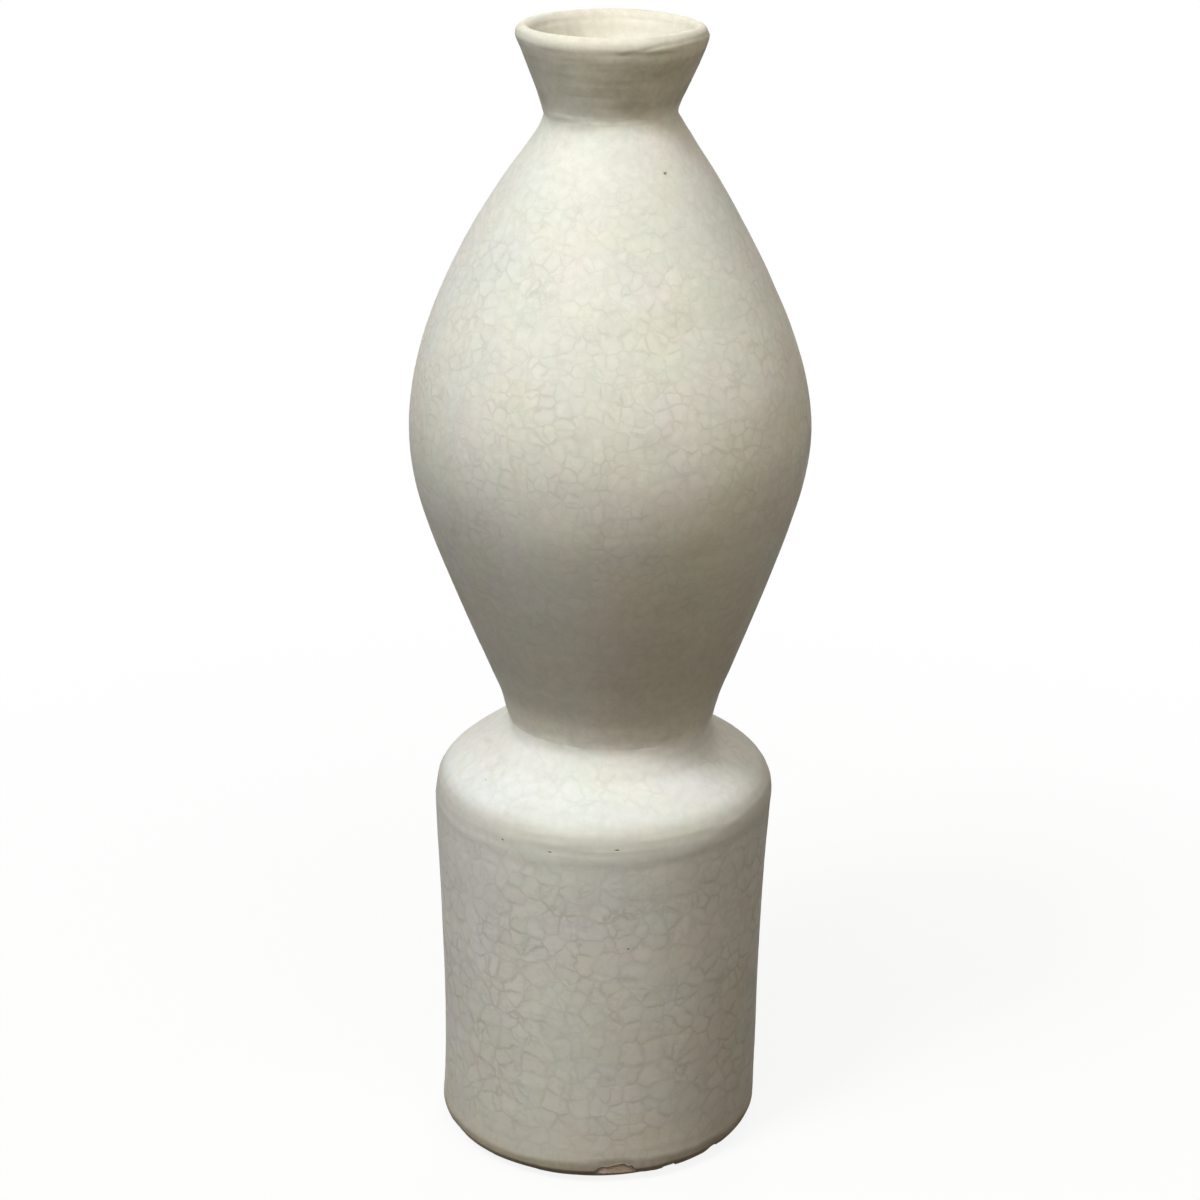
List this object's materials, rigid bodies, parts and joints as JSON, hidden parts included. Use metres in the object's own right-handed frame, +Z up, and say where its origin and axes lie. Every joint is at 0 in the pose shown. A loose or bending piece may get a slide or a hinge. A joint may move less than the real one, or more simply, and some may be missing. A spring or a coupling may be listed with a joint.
{
  "type": "floor vase",
  "caption": "Tall hollow floor vase with a straight drum foot, pinched waist, wide top-shaped belly, tight neck and short flared mouth with a rolled lip, in crackled plaster.",
  "frame": {"origin": "middle of the foot, on the floor that the vase stands on", "axes": "+Z up along the vase's turning axis; the front that the picture shows faces -Y, with +X to the right"},
  "size_m": [0.3074, 0.3074, 0.9],
  "materials": {
    "clay": "fired earthenware, matt and slightly gritty",
    "plaster": "hand-rubbed off-white plaster, matt to satin, with fine grey-brown crackle"
  },
  "bodies": {
    "root": {"foot_slab": "clay", "drum_wall": "clay", "drum_shoulder": "clay", "waist_coil": "clay", "belly_lower": "clay", "belly_upper": "clay", "neck_coil": "clay", "mouth_funnel": "clay", "lip_coil": "clay", "plaster_drum": "plaster", "plaster_belly": "plaster", "plaster_mouth": "plaster"}
  },
  "joints": []
}
